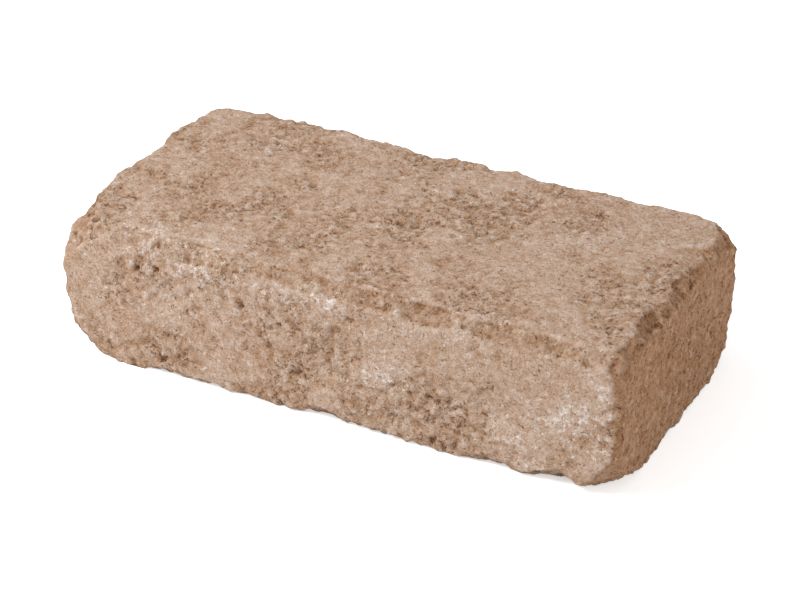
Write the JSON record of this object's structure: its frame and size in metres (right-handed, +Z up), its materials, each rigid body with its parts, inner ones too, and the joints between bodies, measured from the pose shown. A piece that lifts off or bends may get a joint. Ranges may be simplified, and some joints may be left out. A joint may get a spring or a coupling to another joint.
{
  "type": "tumbled concrete paver",
  "caption": "Rectangular concrete paving block with flat moulded faces and arrises worn round, chipped and knocked off at the corners by tumbling; laid flat as a paving or edging unit",
  "frame": {"origin": "middle of the bed face that the paver lies on", "axes": "+X along the length, +Y across the width from front to back, +Z up through the thickness"},
  "size_m": [0.24, 0.12, 0.06],
  "materials": {
    "concrete": "rough, porous, matte"
  },
  "bodies": {
    "root": {"paver": "concrete"}
  },
  "joints": []
}
